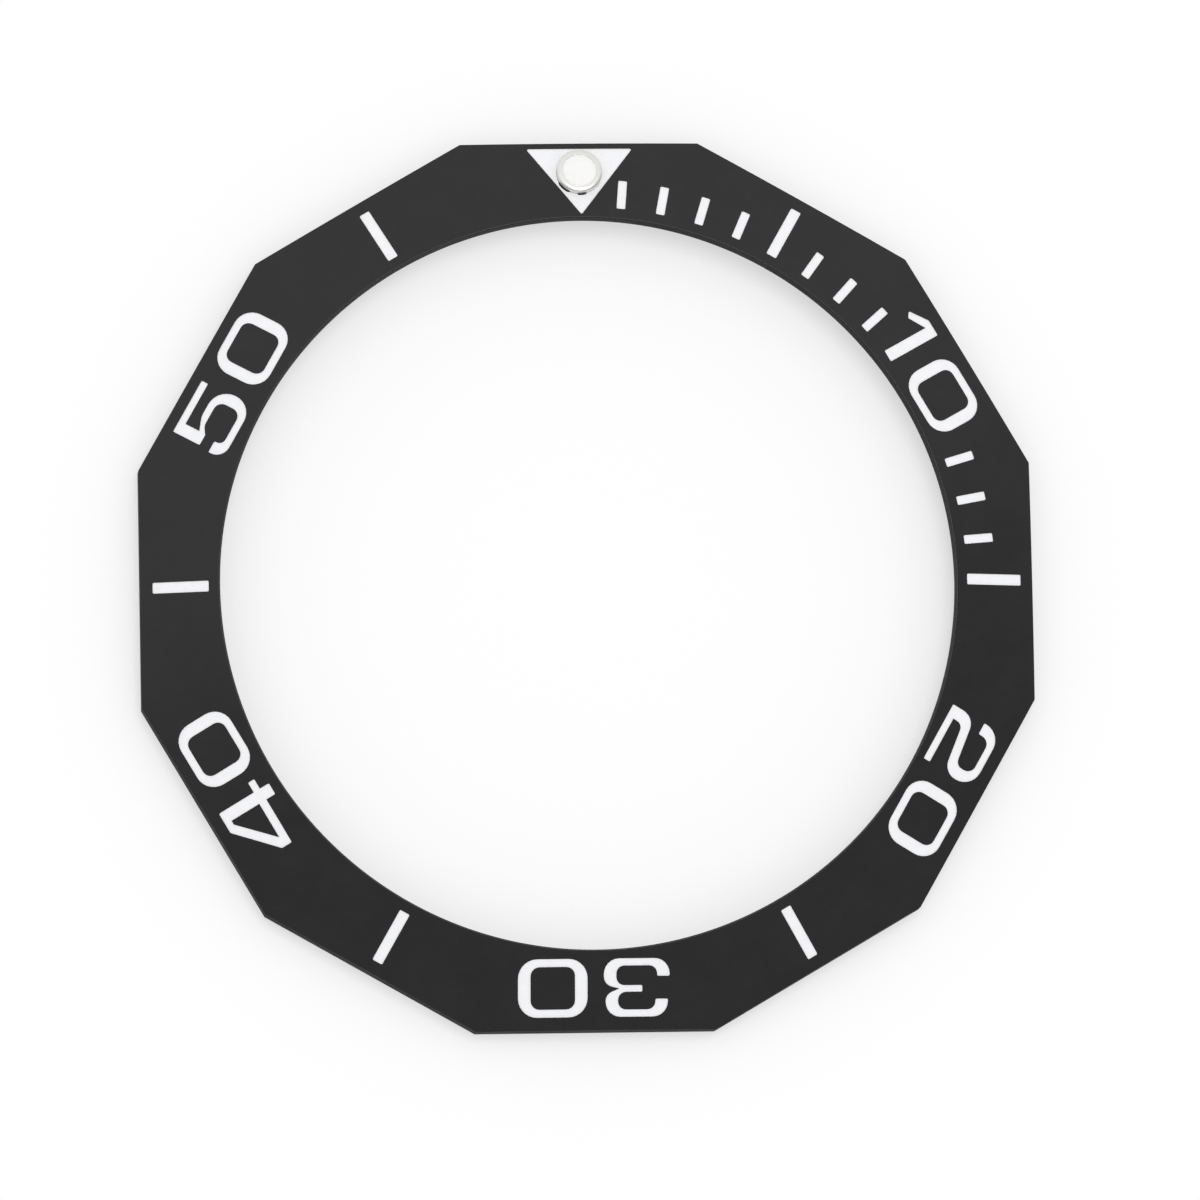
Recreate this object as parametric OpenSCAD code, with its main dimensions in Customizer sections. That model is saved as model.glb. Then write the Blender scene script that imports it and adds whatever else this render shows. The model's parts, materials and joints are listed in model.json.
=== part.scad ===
// Twelve-sided sloped bezel insert for a diver's watch: a ceramic ring whose
// engraved minute scale is filled with white lacquer, with a luminous pearl
// set into the triangle at twelve o'clock and a bonding film under its foot.
//
// Millimetres. +Z points out of the dial side, +Y to twelve o'clock, +X to
// fifteen minutes. The origin is on the ring's axis, at the bottom of the film.

/* [Ring] */
// Width of the outline from flat to flat
across_flats = 38.6; // [38.2:0.1:42]
// Number of flats round the outline
flat_count = 12; // [8:1:24]
// Width of the dial side, from the bore to the middle of a flat
band_w = 3.4; // [3.2:0.05:3.6]
// Slope of the dial side, rising towards the bore, in degrees
face_slope = 14; // [10:0.5:18]
// Height of the outer wall in the middle of a flat
outer_wall_h = 1.2; // [1.1:0.05:1.8]
// Height of the wall of the bore
bore_wall_h = 0.85; // [0.6:0.05:1]
// Width of the flat foot under the ring, from the middle of a flat inwards
foot_w = 2.5; // [2.4:0.05:2.8]
// Chamfer round the top of the bore
bore_chamfer = 0.05; // [0.02:0.01:0.1]

/* [Engraving] */
// Depth of the engraved pockets below the dial side
pocket_depth = 0.2; // [0.12:0.01:0.24]
// Distance that the lacquer lies below the dial side
lacquer_recess = 0.02; // [0.01:0.005:0.05]
// Rounding of the corners that the engraving cutter leaves
cutter_r = 0.05; // [0.02:0.01:0.1]

/* [Minute scale] */
// Distance from the bore to the inner ends of batons and ticks
scale_margin = 0.49; // [0.3:0.01:0.8]
// Length of a five-minute baton
baton_l = 2.385; // [1.6:0.005:2.5]
// Width of a five-minute baton
baton_w = 0.47; // [0.3:0.01:0.6]
// Length of a minute tick
tick_l = 1.28; // [0.8:0.01:2]
// Width of a minute tick
tick_w = 0.38; // [0.25:0.01:0.5]
// Width of ceramic between the numeral 10 and the tick before it
ten_gap = 0.085; // [0.05:0.005:0.2]

/* [Triangle] */
// Distance from the flat at twelve o'clock to the triangle's base
triangle_base_margin = 0.24; // [0.15:0.01:0.4]
// Distance from the bore to the triangle's point
triangle_point_margin = 0.16; // [0.12:0.01:0.3]
// Width of the triangle's base
triangle_w = 4.62; // [4.3:0.02:5]

/* [Numerals] */
// Distance from the bore to the foot of the numerals
numeral_margin = 0.385; // [0.3:0.005:0.4]
// Height of every digit
digit_h = 2.46; // [2.4:0.02:2.5]
// Width of an upright stroke
stem_w = 0.54; // [0.45:0.01:0.6]
// Thickness of a level stroke
bar_h = 0.305; // [0.26:0.005:0.34]
// Radius of the outer corners of the round digits
bowl_r = 0.82; // [0.7:0.02:0.88]
// Radius of the inner corners of the round digits
counter_r = 0.38; // [0.2:0.02:0.4]
// Gap between the digits of 20, 30 and 50
digit_gap = 0.7; // [0.5:0.01:0.8]
// Gap between the digits of 10, wide because the one is narrow
one_gap = 0.9; // [0.6:0.01:1]
// Gap between the digits of 40, narrow because of the four's open corner
four_gap = 0.5; // [0.4:0.01:0.8]
// Sideways shift of 20, 30 and 50 from their minute lines
numeral_shift = 0.11; // [-0.3:0.01:0.3]
// Sideways shift of 40 from its minute line
four_shift = 0.21; // [-0.3:0.01:0.3]
// Distance that 40 and 50 stand further out than the other numerals
late_lift = 0.07; // [0:0.01:0.1]

/* [Zero] */
// Width of the zero
zero_w = 2.99; // [2.6:0.01:3.1]
// Thickness of the zero's level strokes
zero_bar_h = 0.335; // [0.28:0.005:0.36]

/* [One] */
// Width of the one with its flag
one_w = 1.54; // [1.3:0.02:1.8]
// Reach of the one's level top beyond its stem
flag_top = 0.21; // [0.1:0.01:0.3]
// Drop from the one's top to the tip of its flag
flag_drop = 0.56; // [0.4:0.01:0.7]
// Width of the flag's tip
flag_tip_w = 0.26; // [0.15:0.01:0.35]
// Height of the flag's tip
flag_tip_h = 0.185; // [0.1:0.005:0.25]
// Drop from the one's top to the root of its flag
flag_root = 0.31; // [0.25:0.01:0.36]

/* [Two] */
// Width of the two
two_w = 2.77; // [2.5:0.01:2.9]
// Length of the two's upper arm
two_arm_l = 0.87; // [0.85:0.01:0.95]
// Height at which the top of the two's slanting stroke meets its left side
two_waist = 1.08; // [1.02:0.01:1.12]
// Rise of the slanting stroke for each millimetre across
two_slope = 0.135; // [0.08:0.005:0.16]
// Upright thickness of the slanting stroke
two_slant_h = 0.39; // [0.3:0.01:0.4]
// Radius of the bends of the slanting stroke
two_bend_r = 0.64; // [0.55:0.01:0.66]
// Distance that the two's base stops short of its right side
two_base_short = 0.075; // [0:0.005:0.2]

/* [Three] */
// Width of the three
three_w = 2.84; // [2.7:0.02:3]
// Length of the three's end arms
three_arm_l = 0.75; // [0.7:0.01:0.85]
// Radius of the three's outer corners on the right
three_bowl_r = 0.66; // [0.5:0.02:0.66]
// Radius of the three's inner corners on the right
three_counter_r = 0.34; // [0.2:0.02:0.36]
// Height of the three's notch above its foot
three_waist = 1.27; // [1.24:0.01:1.3]
// Depth of the notch from the right side
three_notch = 0.67; // [0.55:0.01:0.7]
// Drop from the notch to the lower bowl's shoulder
three_shoulder_low = 0.17; // [0.12:0.01:0.2]
// Rise from the notch to the upper bowl's shoulder
three_shoulder_up = 0.24; // [0.18:0.01:0.26]
// Radius of both shoulders
three_shoulder_r = 0.44; // [0.3:0.01:0.46]
// Distance that the upper bowl stays inside the lower one, on both sides
three_top_inset = 0.075; // [0:0.005:0.12]
// Distance from the left side to the end of the middle bar
three_bar_x = 1.18; // [1:0.02:1.4]
// Thickness of the middle bar
three_bar_h = 0.28; // [0.24:0.01:0.32]

/* [Four] */
// Width of the four
four_w = 3.15; // [3:0.01:3.3]
// Height of the crossbar above the foot of the stem
four_bar_z = 0.44; // [0.36:0.01:0.5]
// Length of the crossbar to the right of the stem
four_tail = 0.48; // [0.3:0.01:0.55]
// Height at which the slanting stroke starts on the left
four_shoulder = 0.92; // [0.86:0.01:1]
// Reach of the four's level top beyond its stem
four_top = 0.42; // [0.36:0.01:0.5]
// Reach of the counter's top beyond the stem
four_counter_top = 0.19; // [0.12:0.01:0.24]
// Length of the slanting stroke's foot left of the counter
four_counter_x = 0.46; // [0.4:0.01:0.55]
// Rise of the counter's foot above the top of the crossbar
four_counter_rise = 0.045; // [0:0.005:0.08]

/* [Five] */
// Width of the five
five_w = 2.71; // [2.6:0.01:2.9]
// Distance that the five's top bar starts inside its left side
five_left_inset = 0.1; // [0:0.01:0.2]
// Distance that the top bar stops short of the right side
five_right_inset = 0.07; // [0:0.01:0.2]
// Height of the bowl's top
five_bowl_h = 1.71; // [1.68:0.01:1.74]
// Height at which the bowl's top leaves the stem
five_root_h = 1.48; // [1.44:0.01:1.52]
// Height of the foot of the five's stem
five_stem_z = 1.17; // [1.12:0.01:1.2]
// Radius of the bowl's upper corner
five_bowl_r = 0.86; // [0.7:0.01:0.88]
// Length of the five's end arm
five_arm_l = 0.69; // [0.69:0.01:0.8]
// Length of the rise from the stem to the level top of the bowl
five_rise_l = 0.62; // [0.5:0.01:0.7]

/* [Pearl] */
// Diameter of the pearl's cup
pearl_d = 1.96; // [1.8:0.02:2.04]
// Sideways shift of the pearl from the twelve o'clock line
pearl_shift = -0.04; // [-0.06:0.01:0.06]
// Distance that the pearl stands further out than the triangle's centre
pearl_lift = 0.035; // [-0.05:0.005:0.05]
// Height of the cup's rim above the dial side
pearl_proud = 0.29; // [0.25:0.01:0.4]
// Diameter of the luminous window
window_d = 1.5; // [1.3:0.02:1.52]
// Width of the level land on the rim, round the window
rim_land = 0.05; // [0.02:0.01:0.08]
// Height over which the rim curves down from its land to the outer wall
rim_drop = 0.07; // [0.03:0.01:0.18]
// Depth of the spot face that the cup's head sits in
seat_depth = 0.26; // [0.25:0.01:0.3]
// Diameter of the cup's stem
stem_d = 1; // [0.8:0.02:1.06]
// Length of the stem below the head
stem_l = 0.8; // [0.5:0.05:0.85]
// Thickness of the head under the luminous fill
cup_floor = 0.2; // [0.12:0.01:0.24]
// Gap all round the head and the stem
pearl_clearance = 0.02; // [0.01:0.005:0.04]
// Thickness of the clear lens at its edge
lens_edge = 0.05; // [0.03:0.01:0.08]
// Height of the lens's crown
lens_crown = 0.03; // [0.01:0.01:0.05]

/* [Bonding film] */
// Thickness of the film
film_t = 0.1; // [0.05:0.01:0.2]
// Distance from the edges of the foot to the edges of the film
film_margin = 0.15; // [0.05:0.01:0.3]

/* [Colours] */
// Ceramic of the ring
ceramic_colour = "#2f2f30"; // [#2f2f30:Black, #27364a:Blue, #2c4034:Green]
// Lacquer in the engraving
lacquer_colour = "#f4f4f2"; // [#f4f4f2:White, #e4dcc0:Cream]
// Steel of the pearl's cup
steel_colour = "#c9c6bf"; // [#c9c6bf:Polished, #9c9a95:Grey]
// Luminous compound in the cup
lume_colour = "#f7f6ef"; // [#f7f6ef:White, #dfe8c4:Pale green]
// Clear lens over the compound
lens_colour = "#e8f0f4"; // [#e8f0f4:Clear, #dfe9f6:Bluish]
// Bonding film under the foot
film_colour = "#d9cfa8"; // [#d9cfa8:Amber, #dddddd:Grey]

/* [Hidden] */
$fn = 180;
// Farthest that a drawn arc's straight steps may lie from the true arc
arc_error = 0.006;
// Run of the cutting tools past the surface that they cut
overrun = 1;

// Ring
apothem = across_flats / 2;
corner_r = apothem / cos(180 / flat_count);
bore_r = apothem - band_w;
foot_r = apothem - foot_w;
foot_z = film_t;
function face_z(r) = foot_z + outer_wall_h + (apothem - r) * tan(face_slope);
function lip_z(r) = face_z(r) - bore_wall_h;

// Inner ends of batons and ticks
scale_r = bore_r + scale_margin;
function minute_angle(minute) = 6 * minute;
// Way sideways from a minute line to the near and the far side of a tick on another
function tick_near(minutes) =
    scale_r * sin(minute_angle(minutes)) - tick_w / 2 * cos(minute_angle(minutes));
function tick_far(minutes) =
    scale_r * sin(minute_angle(minutes)) + tick_w / 2 * cos(minute_angle(minutes));

// The 10 stands beside the tick two minutes before it
ten_w = one_w + one_gap + zero_w;
ten_left = ten_gap - tick_near(2);
one_shift = ten_left + ten_w / 2;

// Minute, first digit, gap to the zero, sideways shift and lift of each numeral
NUMERALS = [
    [10, "one", one_gap, one_shift, 0],
    [20, "two", digit_gap, numeral_shift, 0],
    [30, "three", digit_gap, numeral_shift, 0],
    [40, "four", four_gap, four_shift, late_lift],
    [50, "five", digit_gap, numeral_shift, late_lift]
];

// Batons stand halfway between the numerals. Ticks fill the first quarter,
// apart from those that the 10 takes the place of.
function clears_ten(minutes) = tick_far(minutes) < ten_left || tick_near(minutes) > ten_left + ten_w;
BATONS = [for (m = [5:10:55]) m];
TICKS = [for (m = [1:14]) if (m % 5 != 0 && clears_ten(m - 10)) m];

function two_figures(minute) = str(minute < 10 ? "0" : "", minute);
function baton_name(minute) = str("baton_", two_figures(minute));
function tick_name(minute) = str("minute_tick_", two_figures(minute));
function digit_name(numeral, digit) = str("numeral_", numeral[0], "_", digit);

// Triangle, with the pearl near the centre of the circle that fits inside it
triangle_base_r = apothem - triangle_base_margin;
triangle_point_r = bore_r + triangle_point_margin;
triangle_h = triangle_base_r - triangle_point_r;
triangle_side = sqrt(pow(triangle_w / 2, 2) + pow(triangle_h, 2));
inner_circle_r = triangle_w * triangle_h / (triangle_w + 2 * triangle_side);
pearl_r = triangle_base_r - inner_circle_r + pearl_lift;

// Pearl, in its own frame on the dial side
rim_r = window_d / 2 + rim_land;
rim_reach = pearl_d / 2 - rim_r;
cup_floor_z = cup_floor - seat_depth;
lume_top = pearl_proud - lens_edge;

// Points of an arc from angle a to angle b
function arc(centre, r, a, b) =
    let(steps = max(2, ceil(abs(b - a) / (2 * acos(1 - arc_error / r)))))
    [for (i = [0:steps]) centre + r * [cos(a + (b - a) * i / steps), sin(a + (b - a) * i / steps)]];

// An outline is a list of [x, y, radius] corners, each rounded to its radius
function xy(corner) = [corner[0], corner[1]];
function heading(from, to) = atan2(to[1] - from[1], to[0] - from[0]);
function turn(a) = a > 180 ? a - 360 : a < -180 ? a + 360 : a;
// Half of the angle at corner b, with the sign of the way from a to c
function half_angle(a, b, c) = turn(heading(b, c) - heading(b, a)) / 2;
// Distance from corner b to the ends of its rounding
function reach(a, b, c) = b[2] / tan(abs(half_angle(a, b, c)));
// Share of their radii that the roundings at both ends of edge b to c have room for
function room(a, b, c, d) =
    let(taken = reach(a, b, c) + reach(b, c, d), free = 0.98 * norm(xy(c) - xy(b)))
    taken > free ? free / taken : 1;
function rounded_corner(a, b, c, share) =
    let(
        r = b[2] * share,
        half = half_angle(a, b, c),
        side = half > 0 ? 1 : -1,
        middle = heading(b, a) + half,
        centre = xy(b) + r / sin(abs(half)) * [cos(middle), sin(middle)],
        start = heading(b, a) - side * 90
    )
    r == 0 ? [xy(b)] : arc(centre, r, start, start - side * (180 - 2 * abs(half)));
function rounded(corners) =
    let(n = len(corners))
    [for (i = [0:n - 1])
        let(p = [for (k = [-2:2]) corners[(i + k + n) % n]])
        each rounded_corner(p[1], p[2], p[3],
            min(room(p[0], p[1], p[2], p[3]), room(p[1], p[2], p[3], p[4])))];

// Digits, each in a box that starts at [0, 0], as outlines of [x, y, radius]
module zero() {
    difference() {
        polygon(rounded([
            [0, 0, bowl_r],
            [zero_w, 0, bowl_r],
            [zero_w, digit_h, bowl_r],
            [0, digit_h, bowl_r]
        ]));
        polygon(rounded([
            [stem_w, zero_bar_h, counter_r],
            [zero_w - stem_w, zero_bar_h, counter_r],
            [zero_w - stem_w, digit_h - zero_bar_h, counter_r],
            [stem_w, digit_h - zero_bar_h, counter_r]
        ]));
    }
}

module one() {
    stem_x = one_w - stem_w;
    polygon(rounded([
        [stem_x, 0, cutter_r],
        [one_w, 0, cutter_r],
        [one_w, digit_h, cutter_r],
        [stem_x - flag_top, digit_h, cutter_r],
        [0, digit_h - flag_drop, cutter_r],
        [flag_tip_w, digit_h - flag_drop - flag_tip_h, cutter_r],
        [stem_x, digit_h - flag_root, 0]
    ]));
}

module two() {
    base_w = two_w - two_base_short;
    inner_x = two_w - stem_w;
    slant_foot = two_waist - two_slant_h;
    polygon(rounded([
        [0, 0, cutter_r],
        [base_w, 0, cutter_r],
        [base_w, bar_h, cutter_r],
        [stem_w, bar_h, 0],
        [stem_w, slant_foot + two_slope * stem_w, two_bend_r / 2],
        [two_w, slant_foot + two_slope * two_w, two_bend_r],
        [two_w, digit_h, bowl_r],
        [0, digit_h, two_arm_l - 2 * cutter_r],
        [0, digit_h - two_arm_l, cutter_r],
        [stem_w, digit_h - two_arm_l, cutter_r],
        [stem_w, digit_h - bar_h, counter_r],
        [inner_x, digit_h - bar_h, counter_r],
        [inner_x, two_waist + two_slope * inner_x, two_bend_r / 2],
        [0, two_waist, two_bend_r]
    ]));
}

module three() {
    inner_x = three_w - stem_w;
    notch_x = three_w - three_notch;
    top_left = three_top_inset;
    top_right = three_w - three_top_inset;
    polygon(rounded([
        [0, three_arm_l, cutter_r],
        [0, 0, three_arm_l - 2 * cutter_r],
        [three_w, 0, three_bowl_r],
        [three_w, three_waist - three_shoulder_low, three_shoulder_r],
        [notch_x, three_waist, 0],
        [top_right, three_waist + three_shoulder_up, three_shoulder_r],
        [top_right, digit_h, three_bowl_r],
        [top_left, digit_h, three_arm_l - 2 * cutter_r],
        [top_left, digit_h - three_arm_l, cutter_r],
        [top_left + stem_w, digit_h - three_arm_l, cutter_r],
        [top_left + stem_w, digit_h - bar_h, three_arm_l - bar_h - 2 * cutter_r],
        [top_right - stem_w, digit_h - bar_h, three_counter_r],
        [top_right - stem_w, three_waist + three_bar_h / 2, three_counter_r],
        [three_bar_x, three_waist + three_bar_h / 2, cutter_r],
        [three_bar_x, three_waist - three_bar_h / 2, cutter_r],
        [inner_x, three_waist - three_bar_h / 2, three_counter_r],
        [inner_x, bar_h, three_counter_r],
        [stem_w, bar_h, three_arm_l - bar_h - 2 * cutter_r],
        [stem_w, three_arm_l, cutter_r]
    ]));
}

module four() {
    stem_right = four_w - four_tail;
    stem_left = stem_right - stem_w;
    bar_top = four_bar_z + bar_h;
    difference() {
        polygon(rounded([
            [stem_left, 0, cutter_r],
            [stem_right, 0, cutter_r],
            [stem_right, four_bar_z, 0],
            [four_w, four_bar_z, cutter_r],
            [four_w, bar_top, cutter_r],
            [stem_right, bar_top, 0],
            [stem_right, digit_h, cutter_r],
            [stem_left - four_top, digit_h, cutter_r],
            [0, four_shoulder, cutter_r],
            [0, four_bar_z, cutter_r],
            [stem_left, four_bar_z, 0]
        ]));
        polygon([
            [four_counter_x, bar_top + four_counter_rise],
            [stem_left, bar_top + four_counter_rise],
            [stem_left, digit_h - bar_h],
            [stem_left - four_counter_top, digit_h - bar_h]
        ]);
    }
}

module five() {
    stem_right = five_left_inset + stem_w;
    top_right = five_w - five_right_inset;
    inner_x = five_w - stem_w;
    polygon(rounded([
        [five_left_inset, five_stem_z, cutter_r],
        [five_left_inset, digit_h, cutter_r],
        [top_right, digit_h, cutter_r],
        [top_right, digit_h - bar_h, cutter_r],
        [stem_right, digit_h - bar_h, 0],
        [stem_right, five_root_h, 0],
        [stem_right + five_rise_l, five_bowl_h, five_bowl_r],
        [five_w, five_bowl_h, five_bowl_r],
        [five_w, 0, bowl_r],
        [0, 0, five_arm_l - 2 * cutter_r],
        [0, five_arm_l, cutter_r],
        [stem_w, five_arm_l, cutter_r],
        [stem_w, bar_h, five_arm_l - bar_h - 2 * cutter_r],
        [inner_x, bar_h, counter_r],
        [inner_x, five_bowl_h - bar_h, counter_r],
        [stem_right + five_rise_l / 2, five_bowl_h - bar_h, counter_r],
        [stem_right - five_left_inset / 2, five_stem_z, 0]
    ]));
}

module digit(name) {
    if (name == "one") one();
    if (name == "two") two();
    if (name == "three") three();
    if (name == "four") four();
    if (name == "five") five();
    if (name == "zero") zero();
}
function digit_w(name) =
    name == "one" ? one_w : name == "two" ? two_w : name == "three" ? three_w :
    name == "four" ? four_w : name == "five" ? five_w : zero_w;

// Marks in plan, each drawn where it lies on the ring
module at_minute(minute) {
    rotate([0, 0, -minute_angle(minute)]) children();
}

module bar_plan(minute, w, l) {
    at_minute(minute) polygon(rounded([
        [-w / 2, scale_r, cutter_r],
        [w / 2, scale_r, cutter_r],
        [w / 2, scale_r + l, cutter_r],
        [-w / 2, scale_r + l, cutter_r]
    ]));
}

module baton_plan(minute) { bar_plan(minute, baton_w, baton_l); }

module tick_plan(minute) { bar_plan(minute, tick_w, tick_l); }

module digit_plan(numeral, name) {
    zero_start = digit_w(numeral[1]) + numeral[2];
    left = numeral[3] - (zero_start + zero_w) / 2;
    start = left + (name == "zero" ? zero_start : 0);
    foot = bore_r + numeral_margin + numeral[4];
    at_minute(numeral[0]) translate([start, foot]) digit(name);
}

module triangle_plan() {
    polygon(rounded([
        [-triangle_w / 2, triangle_base_r, cutter_r],
        [triangle_w / 2, triangle_base_r, cutter_r],
        [0, triangle_point_r, cutter_r]
    ]));
}

module every_mark_plan() {
    triangle_plan();
    for (n = NUMERALS) {
        digit_plan(n, n[1]);
        digit_plan(n, "zero");
    }
    for (m = BATONS) baton_plan(m);
    for (m = TICKS) tick_plan(m);
}

// Layer of the ring between two heights measured from the dial side
module face_layer(low, high) {
    inner = bore_r - overrun;
    outer = corner_r + overrun;
    rotate_extrude() polygon([
        [inner, face_z(inner) + low], [outer, face_z(outer) + low],
        [outer, face_z(outer) + high], [inner, face_z(inner) + high]
    ]);
}

// Column over a plan, tall enough to pass through the whole ring
module column() {
    translate([0, 0, -overrun]) linear_extrude(face_z(bore_r) + 2 * overrun) children();
}

// What fills the engraving of a plan
module filling() {
    intersection() {
        column() children();
        face_layer(-pocket_depth, -lacquer_recess);
    }
}

module lacquer() {
    color(lacquer_colour) filling() children();
}

// Straight-sided outline whose flats lie a distance from the axis
module outline(flat_r, h) {
    r = flat_r / cos(180 / flat_count);
    linear_extrude(h) polygon([for (i = [0:flat_count - 1])
        let(a = 90 + (i + 0.5) * 360 / flat_count) r * [cos(a), sin(a)]]);
}

// Places its children on the dial side at the pearl, with +Z square to it
module at_pearl() {
    translate([pearl_shift, pearl_r, face_z(pearl_r)]) rotate([-face_slope, 0, 0]) children();
}

module pearl_seat() {
    at_pearl() translate([0, 0, -seat_depth])
        cylinder(d = pearl_d + 2 * pearl_clearance, h = seat_depth + overrun);
}

module pearl_hole() {
    depth = face_z(pearl_r) + overrun;
    at_pearl() translate([0, 0, -depth]) cylinder(d = stem_d + 2 * pearl_clearance, h = depth);
}

// Ring section: sloped dial side, flat foot and a thinner lip at the bore
module ring_section() {
    outer = corner_r + overrun;
    chamfer_r = bore_r + bore_chamfer;
    polygon([
        [bore_r, lip_z(bore_r)],
        [foot_r, lip_z(foot_r)],
        [foot_r, foot_z],
        [outer, foot_z],
        [outer, face_z(outer)],
        [chamfer_r, face_z(chamfer_r)],
        [bore_r, face_z(chamfer_r) - bore_chamfer]
    ]);
}

module insert_ring() {
    color(ceramic_colour) difference() {
        intersection() {
            rotate_extrude() ring_section();
            outline(apothem, face_z(bore_r) + overrun);
        }
        intersection() {
            column() every_mark_plan();
            face_layer(-pocket_depth, overrun);
        }
        pearl_seat();
        pearl_hole();
    }
}

module triangle_marker() {
    color(lacquer_colour) difference() {
        filling() triangle_plan();
        pearl_seat();
    }
}

module pearl_cup() {
    head_r = pearl_d / 2;
    color(steel_colour) at_pearl() rotate_extrude() polygon(concat(
        [[0, -seat_depth - stem_l], [stem_d / 2, -seat_depth - stem_l],
            [stem_d / 2, -seat_depth], [head_r, -seat_depth]],
        [for (p = arc([rim_r, 0], rim_reach, 0, 90))
            [p.x, pearl_proud - rim_drop + p.y * rim_drop / rim_reach]],
        [[window_d / 2, pearl_proud], [window_d / 2, cup_floor_z], [0, cup_floor_z]]
    ));
}

module pearl_lume() {
    color(lume_colour) at_pearl() translate([0, 0, cup_floor_z])
        cylinder(d = window_d, h = lume_top - cup_floor_z);
}

module pearl_lens() {
    window_r = window_d / 2;
    crown_r = (pow(window_r, 2) + pow(lens_crown, 2)) / (2 * lens_crown);
    color(lens_colour) at_pearl() intersection() {
        translate([0, 0, lume_top]) cylinder(d = window_d, h = lens_edge + lens_crown);
        translate([0, 0, pearl_proud + lens_crown - crown_r]) sphere(r = crown_r);
    }
}

module bonding_film() {
    color(film_colour) difference() {
        outline(apothem - film_margin, film_t);
        translate([0, 0, -overrun]) cylinder(r = foot_r + film_margin, h = film_t + 2 * overrun);
    }
}

insert_ring();
triangle_marker();
for (n = NUMERALS, d = [n[1], "zero"])
    lacquer() digit_plan(n, d);
for (m = BATONS)
    lacquer() baton_plan(m);
for (m = TICKS)
    lacquer() tick_plan(m);
pearl_cup();
pearl_lume();
pearl_lens();
bonding_film();
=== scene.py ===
"""Visual model of a twelve-sided ceramic bezel insert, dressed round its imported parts."""

import json
import logging
import math
from collections.abc import Callable, Iterable
from dataclasses import dataclass
from enum import Enum, IntEnum
from functools import cached_property

import bmesh
import bpy
from mathutils import Matrix, Vector


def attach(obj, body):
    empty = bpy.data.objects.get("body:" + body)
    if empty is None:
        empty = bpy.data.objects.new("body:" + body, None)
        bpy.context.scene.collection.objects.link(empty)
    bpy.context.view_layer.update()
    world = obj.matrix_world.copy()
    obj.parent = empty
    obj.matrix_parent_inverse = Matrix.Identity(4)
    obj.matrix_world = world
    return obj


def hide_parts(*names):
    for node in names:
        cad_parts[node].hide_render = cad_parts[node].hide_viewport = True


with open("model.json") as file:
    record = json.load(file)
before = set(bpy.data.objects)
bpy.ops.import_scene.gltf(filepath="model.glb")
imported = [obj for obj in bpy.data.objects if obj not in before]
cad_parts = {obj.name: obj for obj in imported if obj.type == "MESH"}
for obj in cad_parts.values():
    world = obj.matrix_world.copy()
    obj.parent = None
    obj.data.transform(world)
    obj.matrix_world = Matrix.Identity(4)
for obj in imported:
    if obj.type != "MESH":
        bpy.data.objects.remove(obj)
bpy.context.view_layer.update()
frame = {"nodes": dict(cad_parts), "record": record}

BODY = "root"
MM = 0.001
PER_MM = 1000.0
LOG = logging.getLogger("bezel_insert")

# Distances in millimetres within which points lie on a plane, or are one point
ON_PLANE = 1e-6
SPIN_MERGE = 1e-5
CUT_MERGE = 1e-4
NODE_MERGE = 2e-4

# Turns between two faces, in radians: up to the first they are one plane, past the second their
# edge can get a rounding, and past the third it is shaded sharp
PLANE_TURN = math.radians(0.1)
EDGE_TURN = math.radians(20.0)
SHARP_TURN = math.radians(26.0)

Colour = tuple[float, float, float]
Span = tuple[float, float]
Section = list[tuple[float, float]]
Feed = bpy.types.NodeSocket | float | tuple[float, ...]
Mesh = bmesh.types.BMesh


class Slot(Enum):
    """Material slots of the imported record."""

    CERAMIC = "ceramic"
    LACQUER = "white_lacquer"
    STEEL = "pearl_steel"
    LUME = "pearl_lume"
    LENS = "pearl_lens"
    FILM = "bonding_film"


# Shader building


class Ray(Enum):
    """Kinds of light ray that a shader can tell apart."""

    CAMERA = "Is Camera Ray"
    DIFFUSE = "Is Diffuse Ray"
    GLOSSY = "Is Glossy Ray"
    SHADOW = "Is Shadow Ray"
    TRANSMISSION = "Is Transmission Ray"


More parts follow.
